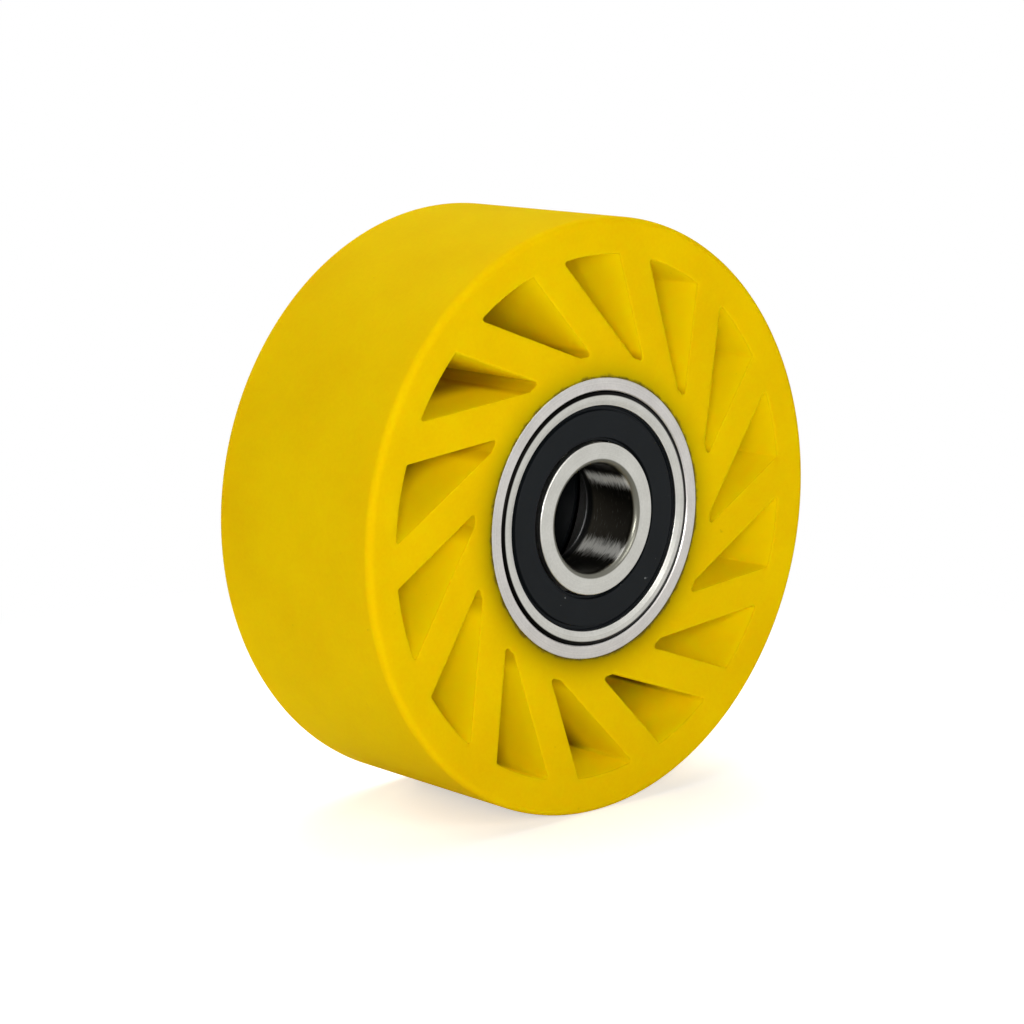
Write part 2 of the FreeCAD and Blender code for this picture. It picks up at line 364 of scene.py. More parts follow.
ripple = add_node(tree, "ShaderNodeTexNoise", {}, {
    "Vector": where, "Scale": 1 / (7 * MM), "Detail": 5.0})
skin_bump = add_node(tree, "ShaderNodeBump", {}, {
    "Strength": 0.3, "Distance": 0.1 * MM, "Height": ripple.outputs["Fac"]})
tree.links.new(skin_bump.outputs["Normal"], shader.inputs["Normal"])
print("made", cast_polyurethane.name)

# %% [markdown]
# ## Steel
# The sleeve is turned on a lathe, and its end face keeps fine rings from the tool. The bearing rings are
# ground, which leaves a closer, brighter finish. Both get the same rings pattern, driven by the
# distance from the axle, broken up by a fine grain and by patches of tarnish. The real grooves are about
# 0.05 mm apart, too fine to show, so they are drawn a few times coarser.

# %% Turned steel


def ring_marks(tree, shader, radius, where, spacing, depth, low, high):
    """Concentric tool marks: a little colour and a little bump that depend on the radius."""
    turned_at = add_node(tree, "ShaderNodeMath", {"operation": "DIVIDE"}, {0: radius, 1: spacing})
    marks = add_node(tree, "ShaderNodeTexNoise", {"noise_dimensions": "1D"}, {
        "W": turned_at.outputs[0], "Scale": 1.0, "Detail": 3.0})
    tarnish = add_node(tree, "ShaderNodeTexNoise", {}, {
        "Vector": where, "Scale": 1 / (5 * MM), "Detail": 4.0})
    grain = add_node(tree, "ShaderNodeTexNoise", {}, {
        "Vector": where, "Scale": 1 / (0.5 * MM), "Detail": 2.0})
    lines = add_node(tree, "ShaderNodeMix", {"data_type": "FLOAT"}, {
        0: 0.4, 2: marks.outputs["Fac"], 3: grain.outputs["Fac"]})
    both = add_node(tree, "ShaderNodeMix", {"data_type": "FLOAT"}, {
        0: 0.35, 2: lines.outputs[0], 3: tarnish.outputs["Fac"]})
    tone = add_node(tree, "ShaderNodeMapRange", {}, {
        "Value": both.outputs[0], "From Min": 0.3, "From Max": 0.7})
    metal = add_node(tree, "ShaderNodeMix", {"data_type": "RGBA"}, {
        0: tone.outputs["Result"], 6: paint(low), 7: paint(high)})
    bump = add_node(tree, "ShaderNodeBump", {}, {
        "Strength": 0.5, "Distance": depth * MM, "Height": marks.outputs["Fac"]})
    tree.links.new(bump.outputs["Normal"], shader.inputs["Normal"])
    return metal.outputs[2]


# To the eye: a soft pale grey whose light spreads along the tool's rings.
turned_steel, tree, shader, where, radius = new_material("turned_steel", {
    "Metallic": 1.0, "Roughness": 0.4})
tool_marks = ring_marks(tree, shader, radius, where, 0.22, 0.02, "B2AFAB", "D6D3CF")
tree.links.new(tool_marks, shader.inputs["Base Color"])
print("made", turned_steel.name)

# %% [markdown]
# ## Ground steel with painted shade and painted reflections
# A ground bearing ring is bright on its faces, but some places on it are dark. The rounded corner next to
# the sleeve is painted black as shade, the bore's rounded ends are a darker grey, and the bore's inboard
# end is painted black because no light gets there. The bore itself is painted dark as shade, with two
# broken bands of painted reflection. All of this depends on where the steel is, so the radius, the
# distance from the wheel's middle and the angle about the axle make the masks.

# %% Bright faces and painted shade in the corner
SEAT_R = half_size("rear_outer_ring", X)
INNER_RING_R = half_size("rear_inner_ring", X)
INBOARD_Y = round(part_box("rear_outer_ring")[0][Y] / MM, 1)
BORE_R = 10.0
CORNER_SHADE = (0.95, 0.7)         # in from the seat, where the painted shade starts and where it is full
CHAMFER_GREY = (0.9, 1.2)        # out from the bore, where its darker rounded end stops
# To the eye: bright grey faces with a sharper shine than the sleeve's.
ground_steel, tree, shader, where, radius = new_material("ground_steel", {
    "Metallic": 1.0, "Roughness": 0.3})
bright = ring_marks(tree, shader, radius, where, 0.15, 0.01, "B2B1AA", "D2D1CA")
# painted shade: the rounded corner next to the sleeve is coloured nearly black
in_corner = add_node(tree, "ShaderNodeMapRange", {"interpolation_type": "SMOOTHSTEP"}, {
    "Value": radius, "From Min": SEAT_R - CORNER_SHADE[0], "From Max": SEAT_R - CORNER_SHADE[1]})
corner_shaded = add_node(tree, "ShaderNodeMix", {"data_type": "RGBA"}, {
    0: in_corner.outputs["Result"], 6: bright, 7: paint("0A0908")})
# the bore's rounded ends are coloured a darker grey
chamfer = add_node(tree, "ShaderNodeMapRange", {"interpolation_type": "SMOOTHSTEP"}, {
    "Value": radius, "From Min": BORE_R + CHAMFER_GREY[0], "From Max": BORE_R + CHAMFER_GREY[1],
    "To Min": 1.0, "To Max": 0.0})
ring_faces = add_node(tree, "ShaderNodeMix", {"data_type": "RGBA"}, {
    0: chamfer.outputs["Result"], 6: corner_shaded.outputs[2], 7: paint("6C6B62")})
print("bearing:", 2 * SEAT_R, "mm outside,", 2 * BORE_R, "mm bore")

# %% Painted reflections in the bore
DASH_W, DASH_L = 0.35, 2.0
GLINT_BANDS = ((34, 17), (-47, 20))    # middle of the band and half its reach, in degrees about the axle
axes = add_node(tree, "ShaderNodeSeparateXYZ", {}, {0: where}).outputs
angle = add_node(tree, "ShaderNodeMath", {"operation": "ARCTAN2"}, {0: axes["Z"], 1: axes["X"]})
along = add_node(tree, "ShaderNodeMath", {"operation": "DIVIDE"}, {0: axes["Y"], 1: DASH_W * MM})
around_bore = add_node(tree, "ShaderNodeMath", {"operation": "MULTIPLY"}, {
    0: angle.outputs[0], 1: BORE_R / DASH_L})
dash_at = add_node(tree, "ShaderNodeCombineXYZ", {}, {
    "X": around_bore.outputs[0], "Y": along.outputs[0]})
dashes = add_node(tree, "ShaderNodeTexNoise", {}, {
    "Vector": dash_at.outputs[0], "Scale": 1.0, "Detail": 3.0})
# painted reflection: two bright bands in the bore, broken into short dashes
bands = []
for middle, reach in GLINT_BANDS:
    off = add_node(tree, "ShaderNodeMath", {"operation": "SUBTRACT"}, {
        0: angle.outputs[0], 1: math.radians(middle)})
    away = add_node(tree, "ShaderNodeMath", {"operation": "ABSOLUTE"}, {0: off.outputs[0]})
    bands.append(add_node(tree, "ShaderNodeMapRange", {"interpolation_type": "SMOOTHSTEP"}, {
        "Value": away.outputs[0], "From Max": math.radians(reach), "To Min": 0.62, "To Max": 0.0}))
band = add_node(tree, "ShaderNodeMath", {"operation": "MAXIMUM"}, {
    0: bands[0].outputs["Result"], 1: bands[1].outputs["Result"]})
glint_and_dash = add_node(tree, "ShaderNodeMath", {"operation": "ADD"}, {
    0: band.outputs[0], 1: dashes.outputs["Fac"]})
glinting = add_node(tree, "ShaderNodeMapRange", {}, {
    "Value": glint_and_dash.outputs[0], "From Min": 0.62, "From Max": 1.1})
# painted shade on the bore's wall, painted reflection in the bands
bore_shade_and_glints = add_node(tree, "ShaderNodeMix", {"data_type": "RGBA"}, {
    0: glinting.outputs["Result"], 6: paint("4A463C"), 7: paint("E4E3DC")})
print("bore:", len(GLINT_BANDS), "rubbed bands, scratches", DASH_W, "by", DASH_L, "mm")

# %% Put the bore and the faces together
DARK_END = (2.2, 3.2)        # out from the bearing's inboard face, where the dark stops
WALL_ONLY = (0.05, 0.25)     # out from the bore, where its wall stops
off_middle = add_node(tree, "ShaderNodeMath", {"operation": "ABSOLUTE"}, {0: axes["Y"]})
inboard = add_node(tree, "ShaderNodeMapRange", {"interpolation_type": "SMOOTHSTEP"}, {
    "Value": off_middle.outputs[0], "From Min": (INBOARD_Y + DARK_END[0]) * MM,
    "From Max": (INBOARD_Y + DARK_END[1]) * MM, "To Min": 1.0, "To Max": 0.0})
bore_wall = add_node(tree, "ShaderNodeMix", {"data_type": "RGBA"}, {
    0: inboard.outputs["Result"], 6: bore_shade_and_glints.outputs[2], 7: paint("030303")})
in_bore = add_node(tree, "ShaderNodeMapRange", {"interpolation_type": "SMOOTHSTEP"}, {
    "Value": radius, "From Min": BORE_R + WALL_ONLY[0], "From Max": BORE_R + WALL_ONLY[1],
    "To Min": 1.0, "To Max": 0.0})
not_a_face = add_node(tree, "ShaderNodeMath", {"operation": "MAXIMUM"}, {
    0: in_bore.outputs["Result"], 1: inboard.outputs["Result"]})
ring_colour = add_node(tree, "ShaderNodeMix", {"data_type": "RGBA"}, {
    0: not_a_face.outputs[0], 6: ring_faces.outputs[2], 7: bore_wall.outputs[2]})
tree.links.new(ring_colour.outputs[2], shader.inputs["Base Color"])
# the bands are less metallic, so the lamps light them as painted highlights
glint_in_bore = add_node(tree, "ShaderNodeMath", {"operation": "MULTIPLY"}, {
    0: glinting.outputs["Result"], 1: in_bore.outputs["Result"]})
glint_metallic = add_node(tree, "ShaderNodeMapRange", {}, {
    "Value": glint_in_bore.outputs[0], "To Min": 1.0, "To Max": 0.4})
tree.links.new(glint_metallic.outputs["Result"], shader.inputs["Metallic"])
print("made", ground_steel.name)

# %% [markdown]
# ## Rubber, sheet steel and balls
# The seals are moulded nitrile rubber: nearly black and matt, with a grey bloom and a few light specks.
# Inside, the cages are pressed from sheet steel, and the balls are lapped until they shine.

# %% Seal rubber
# To the eye: a cool black that stays dark beside the steel, with single specks of dust on it.
nitrile_rubber, tree, shader, where, _ = new_material("nitrile_rubber", {
    "Roughness": 0.5, "IOR": 1.52, "Specular IOR Level": 0.1})
bloom = add_node(tree, "ShaderNodeTexNoise", {}, {
    "Vector": where, "Scale": 1 / (6 * MM), "Detail": 5.0})
dust = add_node(tree, "ShaderNodeTexNoise", {}, {
    "Vector": where, "Scale": 1 / (0.9 * MM), "Detail": 1.0})
tone = add_node(tree, "ShaderNodeMix", {"data_type": "RGBA"}, {
    0: bloom.outputs["Fac"], 6: paint("0A0D0F"), 7: paint("121619")})
speck = add_node(tree, "ShaderNodeMapRange", {}, {
    "Value": dust.outputs["Fac"], "From Min": 0.78, "From Max": 0.84, "To Min": 0.0, "To Max": 0.6})
dusted = add_node(tree, "ShaderNodeMix", {"data_type": "RGBA"}, {
    0: speck.outputs["Result"], 6: tone.outputs[2], 7: paint("8C8F8E")})
tree.links.new(dusted.outputs[2], shader.inputs["Base Color"])
moulding = add_node(tree, "ShaderNodeBump", {}, {
    "Strength": 0.3, "Distance": 0.05 * MM, "Height": bloom.outputs["Fac"]})
tree.links.new(moulding.outputs["Normal"], shader.inputs["Normal"])
print("made", nitrile_rubber.name)

# %% The hidden metals
# To the eye: the cages are a duller grey than the rings, and the balls are nearly mirrors.
sheet_steel, tree, shader, where, radius = new_material("pressed_sheet_steel", {
    "Metallic": 1.0, "Roughness": 0.4})
roll_marks = ring_marks(tree, shader, radius, where, 0.4, 0.01, "8F8D86", "B4B1A9")
tree.links.new(roll_marks, shader.inputs["Base Color"])
ball_steel, tree, shader, where, radius = new_material("lapped_ball_steel", {
    "Metallic": 1.0, "Roughness": 0.12})
lap_marks = ring_marks(tree, shader, radius, where, 0.8, 0.002, "C4C3C0", "D4D3D0")
tree.links.new(lap_marks, shader.inputs["Base Color"])
print("made", sheet_steel.name, "and", ball_steel.name)

# %% [markdown]
# ## The casting
# The wheel body is round, with slots that repeat, so it follows a rule: turn a blank, make one slot, and
# repeat that slot around the axle. Modelling fourteen slots by hand would take longer and never be even.
# The blank comes first. Extra rows on its sides and tread keep the faces near to square, which the
# cutting needs.

# %% The round blank
SPOKES = 14
AROUND_CASTING = 24 * SPOKES
TREAD_EDGE_R = 1.2
SIDE_ROWS = 16
ROWS_TO_R = RIM_IN + 4.0
TREAD_ROWS = (14.0, 7.0, 0.0, -7.0, -14.0)
side_radii = [HUB_R + (ROWS_TO_R - HUB_R) * k / SIDE_ROWS for k in range(SIDE_ROWS + 1)]
one_side = [(r, face_y(r), 0) for r in side_radii] + [(WHEEL_R, HALF_W, TREAD_EDGE_R)]
tread = [(WHEEL_R, y, 0) for y in TREAD_ROWS]
casting = lathe("wheel_casting", rounded(one_side + tread + flipped(one_side)), AROUND_CASTING)

# %% [markdown]
# ## One slot
# The slot lies between two leaning spokes, and its walls run straight through along the axle. Its
# outline has four rounded corners: two at the rim and two at the narrow end by the hub. Growing the
# outline evenly only makes the corner arcs bigger about the same centres, so one function gives every
# layer of the cutter, from the flared mouth to the plain wall.

# %% The slot's corners
SPOKE_W = 6.7
SPOKE_OFFSET = 23.15         # from the axle to a spoke's centre line
SPOKE_ANGLE = 159.8          # direction of the first spoke
SLOT_CORNER_R = 0.5
PITCH = 360 / SPOKES


def heading(degrees):
    """Direction in the wheel's side view, as (x, z)."""
    turn = math.radians(degrees)
    return Vector((math.cos(turn), math.sin(turn)))


ahead, behind = heading(SPOKE_ANGLE), heading(SPOKE_ANGLE - PITCH)
ahead_side, behind_side = heading(SPOKE_ANGLE - 90), heading(SPOKE_ANGLE - PITCH - 90)
near = SPOKE_OFFSET + SPOKE_W / 2 + SLOT_CORNER_R
far = SPOKE_OFFSET - SPOKE_W / 2 - SLOT_CORNER_R


def corner_centres(reach):
    """Centres of the two corner roundings at a distance from the axle, on the two sides of the slot."""
    return (ahead_side * near + ahead * math.sqrt(reach ** 2 - near ** 2),
            behind_side * far + behind * math.sqrt(reach ** 2 - far ** 2))


near_rim, far_rim = corner_centres(RIM_IN - SLOT_CORNER_R)
near_hub, far_hub = corner_centres(SLOT_IN + SLOT_CORNER_R)
print("slot:", round((near_rim - far_rim).length, 1), "mm between its corners at the rim")

# %% The slot's outline
WALL_STEPS, RIM_STEPS, HUB_STEPS = 24, 18, 4


def arc(centre, r, start, end, steps=5):
    """Points of an arc between two directions, the short way round."""
    a = math.atan2(start.y, start.x)
    sweep = (math.atan2(end.y, end.x) - a + math.pi) % (2 * math.pi) - math.pi
    return [centre + Vector((math.cos(a + sweep * k / steps), math.sin(a + sweep * k / steps))) * r
            for k in range(steps + 1)]


def between(a, b):
    """Points along a wall, strictly between its two ends."""
    return [a.lerp(b, k / WALL_STEPS) for k in range(1, WALL_STEPS)]


def slot_outline(grow):
    """The slot's outline in (x, z), grown outwards by a distance."""
    r = SLOT_CORNER_R + grow
    axle = Vector((0, 0))
    hub_near = arc(near_hub, r, -near_hub, -ahead_side)
    rim_near = arc(near_rim, r, -ahead_side, near_rim)
    rim = arc(axle, RIM_IN + grow, near_rim, far_rim, RIM_STEPS)[1:-1]
    rim_far = arc(far_rim, r, far_rim, behind_side)
    hub_far = arc(far_hub, r, behind_side, -far_hub)
    hub = arc(axle, SLOT_IN - grow, far_hub, near_hub, HUB_STEPS)[1:-1]
    return (hub_near + between(hub_near[-1], rim_near[0]) + rim_near + rim + rim_far
            + between(rim_far[-1], hub_far[0]) + hub_far + hub)


print("slot:", len(slot_outline(0)), "points around")

# %% [markdown]
# ## The slot's cutter
# The cutter is a stack of outlines from one side of the wheel to the other. At both mouths the outline
# opens by a tenth of a millimetre along an arc, so the edge of the casting isn't knife-sharp. Above the
# side the cutter goes on along the slope where that arc starts, so that it passes clean through.

# %% The cutter
MOUTH_R = 0.1
FLARE_DEGREES = (30, 60, 90)
ABOVE = 0.5                  # how far the cutter stands out of the side
ABOVE_GROW = 0.86            # how much wider it is up there
flare = [math.radians(degrees) for degrees in FLARE_DEGREES]
layers = [(-ABOVE, MOUTH_R * (1 - math.sin(flare[0])) + ABOVE_GROW)]
layers += [(MOUTH_R * (1 - math.cos(turn)), MOUTH_R * (1 - math.sin(turn))) for turn in flare]
stack = ([(grow, -1, depth) for depth, grow in layers]
         + [(grow, 1, depth) for depth, grow in reversed(layers)])
cutter_points = []
for grow, side, depth in stack:
    cutter_points += [(p.x, side * (face_y(p.length) - depth), p.y) for p in slot_outline(grow)]
n = len(slot_outline(0))
cutter_faces = [tuple(range(n)), tuple(range(len(cutter_points) - n, len(cutter_points)))]
for row in range(len(stack) - 1):
    here, there = row * n, (row + 1) * n
    cutter_faces += [(here + i, here + (i + 1) % n, there + (i + 1) % n, there + i) for i in range(n)]
slot_cutter = finish_mesh(new_piece("slot_cutter", cutter_points, cutter_faces))
print("cutter:", len(stack), "layers")

# %% [markdown]
# ## Repeating the slot
# A Geometry Nodes tree places one cutter per spoke, each turned one step further about the axle, and
# cuts them all out of the blank. The number of spokes is an input, so the rule can be played with. Two
# helpers do what every tree here needs: one sets up its inputs, and one runs it and keeps a plain mesh.

# %% Helpers for Geometry Nodes


def new_tree(name, inputs):
    """A Geometry Nodes tree with a geometry input, the given inputs and a geometry output."""
    tree = bpy.data.node_groups.new(name, "GeometryNodeTree")
    tree.interface.new_socket("Geometry", in_out="INPUT", socket_type="NodeSocketGeometry")
    ids = {label: tree.interface.new_socket(label, in_out="INPUT", socket_type=kind).identifier
           for label, kind in inputs.items()}
    tree.interface.new_socket("Geometry", in_out="OUTPUT", socket_type="NodeSocketGeometry")
    print("tree", name, "with inputs", ", ".join(inputs))
    return tree, add_node(tree, "NodeGroupInput").outputs, ids


def grow_piece(piece, tree, ids, values):
    """Run a tree on a piece, keep the result as a plain mesh and take the modifier off again."""
    modifier = piece.modifiers.new(tree.name, "NODES")
    modifier.node_group = tree
    for label, value in values.items():
        modifier[ids[label]] = value
    seen = piece.evaluated_get(bpy.context.evaluated_depsgraph_get())
    made = bpy.data.meshes.new_from_object(seen)
    piece.modifiers.remove(modifier)
    piece.data = made
    made.name = piece.name
    return piece


# %% Cut the slots
tree, given, ids = new_tree("repeat_slot", {
    "Slot": "NodeSocketObject", "Spokes": "NodeSocketInt", "Finish": "NodeSocketMaterial"})
places = add_node(tree, "GeometryNodePoints", {}, {"Count": given["Spokes"]})
which = add_node(tree, "GeometryNodeInputIndex")
step = add_node(tree, "ShaderNodeMath", {"operation": "DIVIDE"}, {0: 2 * math.pi, 1: given["Spokes"]})
turn = add_node(tree, "ShaderNodeMath", {"operation": "MULTIPLY"}, {
    0: which.outputs[0], 1: step.outputs[0]})
about_axle = add_node(tree, "ShaderNodeCombineXYZ", {}, {"Y": turn.outputs[0]})
rotation = add_node(tree, "FunctionNodeEulerToRotation", {}, {0: about_axle.outputs[0]})
one = add_node(tree, "GeometryNodeObjectInfo", {}, {"Object": given["Slot"]})
many = add_node(tree, "GeometryNodeInstanceOnPoints", {}, {
    "Points": places.outputs[0], "Instance": one.outputs["Geometry"], "Rotation": rotation.outputs[0]})
cutters = add_node(tree, "GeometryNodeRealizeInstances", {}, {0: many.outputs[0]})
cut = add_node(tree, "GeometryNodeMeshBoolean", {"operation": "DIFFERENCE", "solver": "EXACT"}, {
    "Mesh 1": given["Geometry"], "Mesh 2": cutters.outputs[0]})
coloured = add_node(tree, "GeometryNodeSetMaterial", {}, {
    "Geometry": cut.outputs["Mesh"], "Material": given["Finish"]})
add_node(tree, "NodeGroupOutput", {}, {0: coloured.outputs[0]})
grow_piece(casting, tree, ids, {"Slot": slot_cutter, "Spokes": SPOKES, "Finish": cast_polyurethane})
bpy.data.objects.remove(slot_cutter)
finish_mesh(casting)
print("casting:", len(casting.data.polygons), "faces after the slots were cut")

# %% [markdown]
# ## Which walls get painted shade
# The material asks for a number on every face that says where its painted shade goes. It is 1 where a
# wall faces against the anticlockwise turn, seen from the front, and 0 where it faces along it. A vertex
# group painted by hand would do the same, but the face's own direction already knows the answer.

# %% Mark the walls with painted shade
SHADE_REACH = 1.3             # over 1, so that a wall that leans a little still counts in full
# painted shade: 1 on the walls that face back against the turn
dusty_side = casting.data.attributes.new("dusty_side", "FLOAT", "FACE")
for face in casting.data.polygons:
    turning = Vector((-face.center.z, 0, face.center.x)).normalized()
    dusty_side.data[face.index].value = min(1.0, max(0.0, -SHADE_REACH * face.normal.dot(turning)))
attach(casting, "wheel")
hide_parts("wheel_body")
print("dusty faces:", sum(1 for mark in dusty_side.data if mark.value > 0.5))

# %% [markdown]
# ## Casting flash
# Where the mould met the sleeve, a hair of polyurethane crept out over the metal, so the edge is ragged
# instead of a clean circle. It follows a path, so Geometry Nodes draw it: a circle, pushed in and out
# by noise, and swept with a bead whose thickness the same noise changes.

# %% Ragged circle
WANDER = 0.9
tree, given, ids = new_tree("ragged_flash", {
    "Radius": "NodeSocketFloat", "Bead": "NodeSocketFloat", "Ragged": "NodeSocketFloat",
    "Points": "NodeSocketInt", "Seed": "NodeSocketFloat", "Finish": "NodeSocketMaterial"})
circle = add_node(tree, "GeometryNodeCurvePrimitiveCircle", {}, {
    "Radius": given["Radius"], "Resolution": given["Points"]})
upright = add_node(tree, "GeometryNodeTransform", {}, {
    "Geometry": circle.outputs[0], "Rotation": (math.pi / 2, 0, 0)})
spot = add_node(tree, "GeometryNodeInputPosition")
wander = add_node(tree, "ShaderNodeTexNoise", {"noise_dimensions": "4D"}, {
    "Vector": spot.outputs[0], "W": given["Seed"], "Scale": 1 / (WANDER * MM), "Detail": 4.0})
centred = add_node(tree, "ShaderNodeMath", {"operation": "SUBTRACT"}, {0: wander.outputs["Fac"], 1: 0.5})
push = add_node(tree, "ShaderNodeMath", {"operation": "MULTIPLY"}, {
    0: centred.outputs[0], 1: given["Ragged"]})
outwards = add_node(tree, "ShaderNodeVectorMath", {"operation": "NORMALIZE"}, {0: spot.outputs[0]})
shift = add_node(tree, "ShaderNodeVectorMath", {"operation": "SCALE"}, {
    0: outwards.outputs[0], "Scale": push.outputs[0]})
ragged = add_node(tree, "GeometryNodeSetPosition", {}, {
    "Geometry": upright.outputs[0], "Offset": shift.outputs[0]})
print("ragged circle: it wanders every", WANDER, "mm")

# %% Sweep the bead
THINNEST, THICKEST = 0.3, 1.4    # times the bead's radius
thick = add_node(tree, "ShaderNodeMapRange", {}, {
    "Value": wander.outputs["Fac"], "From Min": 0.3, "From Max": 0.7,
    "To Min": THINNEST, "To Max": THICKEST})
swelling = add_node(tree, "GeometryNodeSetCurveRadius", {}, {
    "Curve": ragged.outputs[0], "Radius": thick.outputs["Result"]})
bead = add_node(tree, "GeometryNodeCurvePrimitiveCircle", {}, {"Radius": given["Bead"], "Resolution": 6})
swept = add_node(tree, "GeometryNodeCurveToMesh", {}, {
    "Curve": swelling.outputs[0], "Profile Curve": bead.outputs[0], "Scale": thick.outputs["Result"]})
whole = add_node(tree, "GeometryNodeRealizeInstances", {}, {0: swept.outputs[0]})
coloured = add_node(tree, "GeometryNodeSetMaterial", {}, {
    "Geometry": whole.outputs[0], "Material": given["Finish"]})
add_node(tree, "NodeGroupOutput", {}, {0: coloured.outputs[0]})
print("bead: from", THINNEST, "to", THICKEST, "times its radius")

# %% Lay the flash on both ends
FLASH_BEAD = 0.12
FLASH_RAGGED = 0.5
FLASH_POINTS = 900
FLASH_SEED = {"front": 3.0, "rear": 8.0}
ENDS = (("front", -1), ("rear", 1))
for end, side in ENDS:
    flash = new_piece(end + "_casting_flash", [(0, 0, 0)], [])
    grow_piece(flash, tree, ids, {
        "Radius": HUB_R * MM, "Bead": FLASH_BEAD * MM, "Ragged": FLASH_RAGGED * MM,
        "Points": FLASH_POINTS, "Seed": FLASH_SEED[end], "Finish": cast_polyurethane})
    for point in flash.data.vertices:
        point.co.y += side * HALF_HUB * MM
    finish_mesh(flash)
    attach(flash, "wheel")
    print(flash.name, "has", len(flash.data.polygons), "faces")

# %% [markdown]
# ## Sleeve and bearing rings
# These are lathe work, so each is a section turned about the axle. The chamfers and small edge
# roundings catch the light as thin bright lines, and the groove between the sleeve and the outer ring
# stays dark.

# %% The sleeve
SHOULDER_R = 20.5            # the bearings sit against this shoulder inside
SEAT_CHAMFER = 0.2
AROUND_RINGS = 256


def dress(piece, body, node, material):
    """Give a finished piece its material, and let it stand for its solid."""
    piece.data.materials.clear()
    piece.data.materials.append(material)
    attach(piece, body)
    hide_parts(node)


sleeve_end = [(HUB_R, HALF_HUB, 0.25), (SEAT_R + SEAT_CHAMFER, HALF_HUB, 0.05),
              (SEAT_R, HALF_HUB - SEAT_CHAMFER, 0.05), (SEAT_R, INBOARD_Y, 0), (SHOULDER_R, INBOARD_Y, 0.3)]
sleeve = lathe("sleeve", rounded(sleeve_end + flipped(sleeve_end)), AROUND_RINGS)
dress(sleeve, "wheel", "hub_sleeve", turned_steel)

# %% Sections of the bearing rings
BALL_R = 3.969
BALL_CIRCLE_R = 16.75
BALL_CLEAR = 0.04
RACE_R = 4.128
HALF_BEARING = (HALF_HUB - INBOARD_Y) / 2
OUTER_LAND_R = 19.4
LIP_R = 20.85                # the lip that holds the seal
GROOVE_R = 21.3              # the groove behind that lip
GROOVE_TOP, GROOVE_BOTTOM = 6.1, 5.1
LEAD_R, LEAD_DEPTH = 21.8, 0.35   # the bevel that leads the seal in
RACE_STEPS = 8


def raceway(land_r, outwards):
    """Points of the groove the balls run in, from +y to -y, on the land of a ring."""
    middle = BALL_CIRCLE_R + outwards * (BALL_R + BALL_CLEAR - RACE_R)
    reach = math.acos((land_r - middle) / (outwards * RACE_R))
    return [(middle + outwards * RACE_R * math.cos(reach * t), RACE_R * math.sin(reach * t), 0)
            for t in [1 - k / RACE_STEPS for k in range(2 * RACE_STEPS + 1)]]


outer_side = [(SEAT_R, HALF_BEARING, 0.9), (LEAD_R, HALF_BEARING, 0.12),
              (LIP_R, HALF_BEARING - LEAD_DEPTH, 0.12), (LIP_R, GROOVE_TOP, 0.06), (GROOVE_R, GROOVE_TOP, 0),
              (GROOVE_R, GROOVE_BOTTOM, 0), (OUTER_LAND_R, GROOVE_BOTTOM, 0.1)]
inner_side = [(INNER_RING_R, HALF_BEARING, 0.25), (BORE_R, HALF_BEARING, 1.25)]
outer_section = rounded(outer_side + raceway(OUTER_LAND_R, 1) + flipped(outer_side))
inner_section = rounded(flipped(inner_side) + raceway(INNER_RING_R, -1)[::-1] + inner_side)
print("ring sections:", len(outer_section), "and", len(inner_section), "points")

# %% The bearing rings
BEARING_Y = HALF_HUB - HALF_BEARING


def at_end(section, side, facing=1):
    """A bearing's section moved to its place on the axle."""
    return [(p[0], facing * p[1] + side * BEARING_Y) for p in section]


for end, side in ENDS:
    outer = lathe(end + "_bearing_outer", at_end(outer_section, side), AROUND_RINGS)
    dress(outer, "wheel", end + "_outer_ring", ground_steel)
    inner = lathe(end + "_bearing_inner", at_end(inner_section, side), AROUND_RINGS)
    dress(inner, "axle_rings", end + "_inner_ring", ground_steel)

# %% [markdown]
# ## Seals
# A rubber seal is a thin disc with a bead that snaps into the outer ring. A narrow groove runs round its
# rim, and its lip drops away next to the inner ring, so a thin black line shows on both sides of it.
# The disc is turned like the rings, once for each side of each bearing.

# %% The seals
SEAL_IN = INNER_RING_R + 0.25                     # the lip runs clear of the inner ring
BEAD_R = GROOVE_R - 0.06                          # the bead fills the groove
BEAD_TOP, BEAD_BOTTOM = GROOVE_TOP - 0.05, GROOVE_BOTTOM + 0.05
DIP_Y, BACK_Y = 5.8, 5.45                         # floor of the two dips, and the disc's back
FACE_IN, FACE_OUT = (14.95, 6.5), (19.85, 6.55)   # the flat between the dips
LIP_DIP_R = 14.8                                  # the dip beside the lip reaches out to here
RIM_DIP_R = (20.0, 20.5)                          # the dip beside the rim lies between these
SHELF_R, HEEL_R, NECK_R = 20.62, 20.8, 20.3       # the bead's front edge, back edge and neck
seal_front = [(SEAL_IN, DIP_Y, 0.08), (LIP_DIP_R, DIP_Y, 0), (*FACE_IN, 0.12), (*FACE_OUT, 0.12),
              (RIM_DIP_R[0], DIP_Y, 0), (RIM_DIP_R[1], DIP_Y, 0), (SHELF_R, BEAD_TOP, 0)]
seal_back = [(BEAD_R, BEAD_TOP, 0), (BEAD_R, BEAD_BOTTOM, 0), (HEEL_R, BEAD_BOTTOM, 0),
             (NECK_R, BACK_Y, 0), (SEAL_IN, BACK_Y, 0.08)]
seal_section = rounded(seal_front + seal_back)
for end, side in ENDS:
    for place, facing in (("outboard", side), ("inboard", -side)):
        disc = lathe("%s_seal_%s_rubber" % (end, place), at_end(seal_section, side, facing), AROUND_RINGS)
        dress(disc, "wheel", "%s_seal_%s" % (end, place), nitrile_rubber)

# %% [markdown]
# ## Balls and cages
# The balls, cages and rivets sit behind the seals. Their solids already have the right shape, so they
# keep it and only get their metals.

